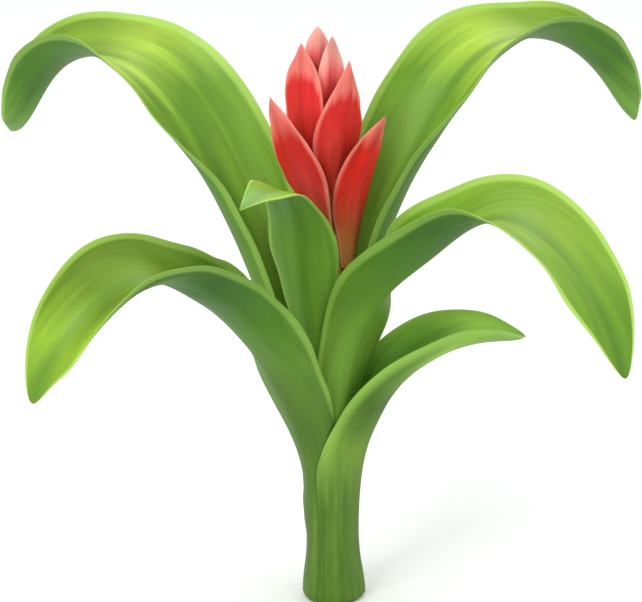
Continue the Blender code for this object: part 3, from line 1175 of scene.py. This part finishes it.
LEAVES = (
    Leaf(
        "upper_left",
        Blade(
            base=(-0.0070, 0.0050, 0.116), azimuth=140, length=0.5183, heading=(28, 22, 26, 42, 95, 131, 101),
            width=(0.0374, 0.0712, 0.0990, 0.0982, 0.0875, 0.0731), cup=(91, 102, 99, 52, 64, 115, 115),
            swing=(12, 8, 12, -10, -31), roll=(-8, -7, -13, -20, -7, -46, -58), tip_round=0.020,
        ),
        Sheath(azimuth=150, foot=0.080, height=0.098, rise=0.010, wrap=80, lift=-0.0010, join=0.075),
    ),
    Leaf(
        "upper_right",
        Blade(
            base=(0.0040, 0.0055, 0.124), azimuth=38, length=0.5116, heading=(14, 13, 26, 39, 95, 125, 124),
            width=(0.0289, 0.0625, 0.0869, 0.0888, 0.0781, 0.0688), cup=(86, 98, 96, 67, 60, 116, 40),
            swing=(-5, -3, -11, 8, 23), roll=(-7, -2, 8, 22, 3, 28, -1), tip_round=0.020,
        ),
        Sheath(azimuth=35, foot=0.084, height=0.102, rise=0.010, wrap=80, lift=-0.0010, join=0.075),
    ),
    Leaf(
        "mid_back",
        Blade(
            base=(-0.0012, 0.0150, 0.102), azimuth=92, length=0.370, heading=(24, 34, 42, 52, 86, 124, 150),
            width=(0.046, 0.060, 0.072, 0.076, 0.066, 0.046), cup=(80, 66, 45, 25, 6), swing=(2, 0, -3, 4),
            roll=(0, 3, 0, -6, 8), tip_round=0.022,
        ),
        Sheath(azimuth=94, foot=0.050, height=0.078, rise=0.018, wrap=85, lift=-0.0006, join=0.10),
    ),
    Leaf(
        "curled_front",
        Blade(
            base=(-0.0070, -0.0011, 0.1422), azimuth=245, length=0.2764, heading=(8, 22, 24, 28, 49, 85, 105),
            width=(0.036, 0.040, 0.045, 0.052, 0.042, 0.027), cup=(76, 35, 26, 1, 5), swing=(-14, 14, 9, 1),
            roll=(-28, -18, -12, -15, -21), tip_round=0.008,
        ),
        Sheath(azimuth=241, foot=0.090, height=0.106, rise=0.006, wrap=75, lift=-0.0010, join=0.07),
        PAINTED_LIGHT_LEAF_FINISH,
    ),
    Leaf(
        "mid_right",
        Blade(
            base=(0.0089, -0.0125, 0.1396), azimuth=-42, length=0.3794, heading=(1, 25, 51, 54, 102, 127, 156),
            width=(0.0380, 0.0573, 0.0924, 0.0931, 0.0716, 0.0531), cup=(62, 35, 102, 68, 41, 18, 4),
            swing=(-2, -3, -1, -13, -20), roll=(-14, -12, 20, 14, 7, 0, 22), tip_round=0.024,
        ),
        Sheath(azimuth=-45, foot=0.060, height=0.084, rise=0.018, wrap=90, lift=-0.0008, join=0.06),
        RIGHT_OUTER_FINISH,
    ),
    Leaf(
        "mid_left",
        Blade(
            base=(-0.0146, -0.0064, 0.106), azimuth=226, length=0.3924, heading=(29, 34, 48, 62, 68, 128, 163),
            width=(0.0563, 0.0660, 0.0926, 0.0808, 0.0677, 0.0613), cup=(99, 65, 102, 116, 87, 76, 26),
            swing=(8, 8, 24, 0, -44), roll=(4, 4, -26, -26, -17, -32, -67), tip_round=0.024,
        ),
        Sheath(azimuth=231, foot=0.0, height=0.084, rise=0.020, wrap=88, lift=-0.0001, join=0.10),
        LEFT_OUTER_FINISH,
    ),
    Leaf(
        "small_left",
        Blade(
            base=(-0.0150, 0.0030, 0.096), azimuth=162, length=0.072, heading=(14, 15, 17, 20, 25, 32, 42),
            width=(0.036, 0.038, 0.038, 0.034, 0.028, 0.019), cup=(60, 52, 44, 34, 25), tip_round=0.020,
        ),
        Sheath(azimuth=178, foot=0.045, height=0.070, rise=0.016, wrap=80, lift=-0.0002, join=0.16),
        split=False,
    ),
    Leaf(
        "small_back",
        Blade(
            base=(0.0040, 0.0170, 0.086), azimuth=96, length=0.215, heading=(32, 44, 56, 70, 84, 96, 106),
            width=(0.044, 0.052, 0.058, 0.055, 0.045, 0.030), cup=(72, 66, 56, 40, 20), swing=(0, 4, 0, -6),
            roll=(0, -4, 0, 6), tip_round=0.020,
        ),
        Sheath(azimuth=96, foot=0.030, height=0.060, rise=0.022, wrap=84, lift=0.0003, join=0.12),
        split=False,
    ),
    Leaf(
        "small_right",
        Blade(
            base=(0.0131, -0.0082, 0.0893), azimuth=15, length=0.199, heading=(18, 22, 32, 58, 82, 97, 101),
            width=(0.056, 0.065, 0.072, 0.071, 0.058, 0.038), cup=(87, 92, 92, 93, 75), swing=(-18, -2, 14, 30),
            roll=(-38, -19, 3, 14, 31), tip_round=0.020,
        ),
        Sheath(azimuth=-3, foot=0.0, height=0.068, rise=0.030, wrap=110, lift=0.0016, join=0.20, spread=0.0035),
        SMALL_LEAF_FINISH,
        split=False,
    ),
)

STALK_FOOT = (-0.0021, 0.0, 0.1440)
STALK_LEAN = 0.0697
STALK_REACH = 0.0048


def stalk_base(height: float, way: float) -> tuple:
    """Where a bract leaves the leaning stalk, at a height and facing a way."""
    turn = radians(way)
    middle = STALK_FOOT[0] + STALK_LEAN * (height - STALK_FOOT[2])
    return (middle + STALK_REACH * cos(turn), STALK_REACH * sin(turn), height)


BRACTS = (
    Bract(
        "top",
        Blade(
            base=(-0.0102, -0.0013, 0.366), azimuth=260, length=0.047, heading=(0, 1, 2, 2, 2, 3, 4),
            width=(0.0135, 0.017, 0.019, 0.0205, 0.019, 0.0125), cup=(75, 65, 54, 45, 37), swing=(1, 3, 3, 2),
            roll=(1, 3, 4, 3, 1),
        ),
        TOP_BRACT_FINISH,
    ),
    Bract(
        "upper_right",
        Blade(
            base=(-0.0017, -0.0041, 0.348), azimuth=-55, length=0.059, heading=(6, 6, 5, 2, -1, -3, -3),
            width=(0.016, 0.020, 0.022, 0.0215, 0.0185, 0.012), cup=(73, 51, 29, 21, 24), swing=(-1, -2, -2, -1),
            roll=(0, -2, -3, -3, -2),
        ),
        TOP_BRACT_FINISH,
    ),
    Bract(
        "upper_left",
        Blade(
            base=(-0.0105, 0.0010, 0.3125), azimuth=230, length=0.092, heading=(21, 21, 16, 8, 2, -1, -1),
            width=(0.014, 0.025, 0.032, 0.032, 0.030, 0.020), cup=(51, 24, 20, 22, 26), swing=(-11, -5, 1, 5),
            roll=(3, 8, 8, 6, 3),
        ),
        MIDDLE_BRACT_FINISH,
    ),
    Bract(
        "middle_right",
        Blade(
            base=(0.0016, -0.0050, 0.297), azimuth=-57, length=0.0965, heading=(12, 13, 12, 10, 8, 7, 6),
            width=(0.006, 0.024, 0.040, 0.040, 0.030, 0.015), cup=(88, 56, 42, 30, 23), swing=(4, 1, 1, -1),
            roll=(3, -4, -4, -2, 0),
        ),
        MIDDLE_BRACT_FINISH,
    ),
    Bract(
        "lower_left",
        Blade(
            base=(-0.0052, -0.0004, 0.259), azimuth=213, length=0.118, heading=(17, 22, 23, 23, 23, 22, 22),
            width=(0.015, 0.026, 0.037, 0.042, 0.035, 0.022), cup=(61, 37, 26, 20, 20), swing=(-5, -1, 2, 6),
            roll=(1, 9, 14, 10, 5),
        ),
        LOW_BRACT_FINISH,
    ),
    Bract(
        "lower_right",
        Blade(
            base=(0.0124, -0.0012, 0.2440), azimuth=-45, length=0.117, heading=(8, 4, 9, 17, 23, 26, 29),
            width=(0.0150, 0.0214, 0.0335, 0.0372, 0.0328, 0.0209), cup=(50, 57, 51, 44, 37), swing=(11, 0, -1, -1),
            roll=(-9, -5, -4, -4),
        ),
    ),
    Bract(
        "back_top",
        Blade(
            base=(-0.0030, 0.0060, 0.315), azimuth=95, length=0.075, heading=(12, 10, 6, 3, 0, -2, -3),
            width=(0.018, 0.024, 0.027, 0.027, 0.023, 0.015), cup=(60, 48, 38, 30, 26),
        ),
    ),
    Bract(
        "back_left",
        Blade(
            base=(-0.0065, 0.0090, 0.292), azimuth=124, length=0.076, heading=(14, 17, 17, 15, 12, 9, 7),
            width=(0.004, 0.006, 0.012, 0.019, 0.018, 0.012), cup=(70, 50, 40, 30, 24),
        ),
    ),
    Bract(
        "back_right",
        Blade(
            base=(0.0040, 0.0055, 0.280), azimuth=60, length=0.090, heading=(12, 14, 13, 11, 9, 7, 6),
            width=(0.011, 0.017, 0.024, 0.027, 0.023, 0.014), cup=(70, 50, 40, 30, 24),
        ),
    ),
    Bract(
        "back_low",
        Blade(
            base=(0.0030, 0.0070, 0.252), azimuth=100, length=0.105, heading=(8, 14, 20, 24, 26, 27, 28),
            width=(0.015, 0.026, 0.035, 0.037, 0.030, 0.018), cup=(63, 52, 42, 34, 28),
        ),
    ),
    *(
        Bract(
            place,
            Blade(
                base=stalk_base(height, way), azimuth=way, length=length, heading=(5, 5, 6, 8, 11, 15, 19),
                width=(0.0115, 0.0150, 0.0150, 0.0130, 0.0105, 0.0068), cup=(84, 80, 66, 50, 36),
            ),
            STALK_FINISH,
            on_stalk=True,
        )
        for place, way, height, length in (
            ("low_left", 195, 0.152, 0.056),
            ("low_right", 20, 0.165, 0.058),
            ("back", 105, 0.182, 0.060),
            ("front", 262, 0.196, 0.056),
            ("right", 35, 0.212, 0.058),
            ("left", 150, 0.226, 0.060),
        )
    ),
)

AXES = (
    Axis("flower_stalk", STALK_FOOT, (0.0050, 0.0, 0.2458), (0.0050, 0.0045, 0.0043, 0.0041, 0.0039)),
    Axis(
        "flower_pith",
        (0.0050, 0.0, 0.2462),
        (-0.0095, 0.0, 0.3940),
        (0.0039, 0.0052, 0.0064, 0.0070, 0.0065, 0.0054, 0.0030),
    ),
)


@dataclass(frozen=True)
class Plant:
    """The whole guzmania: its stem, its leaves, and its flower head on a stalk."""

    stem: Stem = STEM
    leaves: tuple = LEAVES
    bracts: tuple = BRACTS
    axes: tuple = AXES

    FIRST_BRACT = 11

    def build(self) -> None:
        """Builds each piece in turn, with its finish, and reports it; straps of one finish share its material."""
        straps = (*enumerate(self.leaves, 1), *enumerate(self.bracts, self.FIRST_BRACT))
        dresses = {finish: finish.make() for finish in dict.fromkeys(strap.finish for _, strap in straps)}
        axis_dress = AXIS_FINISH.make()
        self.report(self.stem.build(STEM_FINISH.make()))
        for number, strap in straps:
            self.report(strap.build(number, dresses[strap.finish]))
        for axis in self.axes:
            self.report(axis.build(axis_dress))

    def report(self, piece: bpy.types.Object) -> None:
        """Logs a piece and how many faces it has."""
        LOG.info("%s: %d faces", piece.name, len(piece.data.polygons))


# --- the studio ---


@dataclass(frozen=True)
class Lamp:
    """A square soft light that points at the plant.

    Attributes:
        name: the light's name.
        place: where it stands.
        size: of its side.
        power: in watts.
        aim: the point it looks at.
    """

    name: str
    place: tuple
    size: float
    power: float
    aim: tuple = (0.0, 0.0, 0.24)

    def build(self) -> bpy.types.Object:
        """Makes the light.

        Returns:
            The light.
        """
        data = bpy.data.lights.new(self.name, "AREA")
        data.energy = self.power
        data.size = self.size
        lamp = bpy.data.objects.new(self.name, data)
        lamp.location = self.place
        lamp.rotation_euler = (Vector(self.aim) - Vector(self.place)).to_track_quat("-Z", "Y").to_euler()
        bpy.context.scene.collection.objects.link(lamp)
        return lamp


@dataclass(frozen=True)
class Studio:
    """A pale floor, an even pale surround, soft lights and the camera.

    Attributes:
        lamps: the lights.
        surround: strength of the pale surround.
        floor_size: side of the floor.
        floor_colour: its colour.
        target: the point the camera looks at.
        distance: from the camera to it.
        elevation: how far above the level the camera stands, seen from the target.
        focal: pixels of the picture for each unit of distance over depth.
        picture_width: in pixels.
    """

    lamps: tuple = (
        Lamp("key_light", (-1.1, -1.5, 1.9), 0.9, 24.0),
        Lamp("fill_light", (1.7, -1.1, 1.1), 1.4, 3.0),
        Lamp("back_light", (0.3, 1.7, 1.7), 1.2, 8.0),
    )
    surround: float = 1.05
    floor_size: float = 24.0
    floor_colour: str = "#F8F8F6"
    target: tuple = (-0.0080, 0.0, 0.2201)
    distance: float = 1.5
    elevation: float = 15.0
    focal: float = 2142.9
    picture_width: int = 642

    GAP = 0.0003
    COOL_WHITE = (0.97, 0.985, 1.0, 1.0)

    def build(self) -> None:
        """Builds the floor, the lights, the surround and the camera."""
        self.make_floor()
        for lamp in self.lamps:
            lamp.build()
        self.make_surround()
        self.make_camera()

    def make_floor(self) -> None:
        """Lays a plain square floor just under the plant's cut."""
        half = self.floor_size / 2
        corners = [(half * x, half * y, -self.GAP) for x, y in ((-1, -1), (1, -1), (1, 1), (-1, 1))]
        mesh = bpy.data.meshes.new("studio_floor")
        mesh.from_pydata(corners, [], [(0, 1, 2, 3)])
        made, tree = blank_material("matt_studio_paper")
        close_tree(tree, {"Base Color": linear(self.floor_colour), "Roughness": 0.95})
        mesh.materials.append(made)
        floor = bpy.data.objects.new("studio_floor", mesh)
        bpy.context.scene.collection.objects.link(floor)

    def make_surround(self) -> None:
        """Gives the world an even, slightly cool white."""
        world = bpy.data.worlds.new("studio_surround")
        world.use_nodes = True
        world.node_tree.nodes.clear()
        light = add_node(world.node_tree, "Background", {"Color": self.COOL_WHITE, "Strength": self.surround})
        add_node(world.node_tree, "OutputWorld", {"Surface": light})
        bpy.context.scene.world = world

    def make_camera(self) -> None:
        """Stands the camera in front of the plant, looking down at its middle."""
        data = bpy.data.cameras.new("camera")
        data.sensor_width = 36.0
        data.lens = self.focal * data.sensor_width / self.picture_width
        camera = bpy.data.objects.new("camera", data)
        tilt = radians(self.elevation)
        x, y, z = self.target
        camera.location = (x, y - self.distance * cos(tilt), z + self.distance * sin(tilt))
        camera.rotation_euler = (radians(90 - self.elevation), 0, 0)
        bpy.context.scene.collection.objects.link(camera)
        bpy.context.scene.camera = camera
        bpy.context.scene.view_settings.view_transform = "Standard"


def main() -> None:
    """Builds the plant and the studio round it."""
    logging.basicConfig(level=logging.INFO, format="%(message)s")
    Plant().build()
    Studio().build()


if __name__ == "__main__":
    main()
